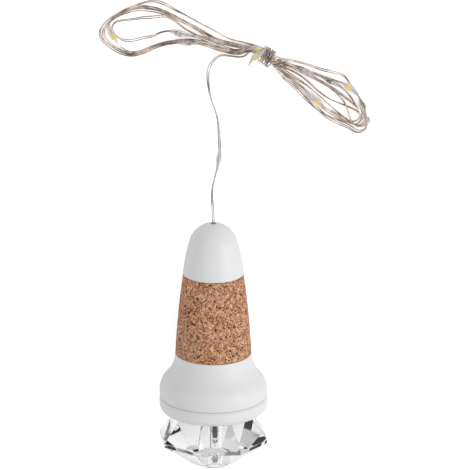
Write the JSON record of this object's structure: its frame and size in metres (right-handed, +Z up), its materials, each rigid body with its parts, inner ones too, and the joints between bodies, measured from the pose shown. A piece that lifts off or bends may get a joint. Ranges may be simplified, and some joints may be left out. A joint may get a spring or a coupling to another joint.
{
  "type": "cork bottle light",
  "caption": "Bottle stopper light with a tapered cork sleeve, a white plastic nose and flare, a clear faceted twist head, and a hank of fine wire with clear light drops.",
  "frame": {"origin": "centre of the stopper's footprint on the floor it lies on, without its string", "axes": "+Y along the stopper's axis towards the nose, +Z up, +X to the right seen from the head"},
  "size_m": [0.0747, 0.1305, 0.0298],
  "materials": {
    "white_plastic": "satin moulded white ABS",
    "cork": "agglomerated cork with dark and tan granules",
    "clear_glass": "polished clear crystal, flat facets",
    "clear_resin": "clear resin drop over a yellow light-emitting chip",
    "enamelled_wire": "silver enamelled copper wire, two laid side by side",
    "glue": "translucent crimp and hot glue",
    "circuit_board": "green solder mask",
    "solder": "bright tin solder",
    "spring_steel": "nickel-plated spring wire",
    "cell_can": "nickel-plated button cell can",
    "contact_brass": "sprung phosphor bronze",
    "lead_frame": "dark plated lead frame",
    "screw_steel": "zinc-plated steel",
    "resistor_black": "black chip resistor"
  },
  "bodies": {
    "root": {"nose_cap": "white_plastic", "wire_anchor": "glue", "inner_leads": "enamelled_wire", "cork_sleeve": "cork", "stem_housing": "white_plastic", "terminal_board": "circuit_board", "solder_joints": "solder", "negative_spring": "spring_steel", "cell_1": "cell_can", "cell_2": "cell_can", "cell_3": "cell_can", "negative_strip": "contact_brass", "switched_strip": "contact_brass", "string_lead": "enamelled_wire", "string_hank": "enamelled_wire", "string_tie": "enamelled_wire", "string_beads": "clear_resin", "cut_wire_ends": "enamelled_wire"},
    "head": {"twist_ring": "white_plastic", "crystal_head": "clear_glass", "head_board": "circuit_board", "positive_contact": "contact_brass", "wiper_contacts": "contact_brass", "head_led": "clear_resin", "led_frame": "lead_frame", "board_screws": "screw_steel", "board_resistor": "resistor_black"}
  },
  "joints": [
    {"name": "head_twist", "type": "hinge", "parent": "root", "child": "head", "pos_m": [0, -0.01365, 0.0149], "axis": [0, 1, 0], "range_deg": [0, 45]}
  ]
}
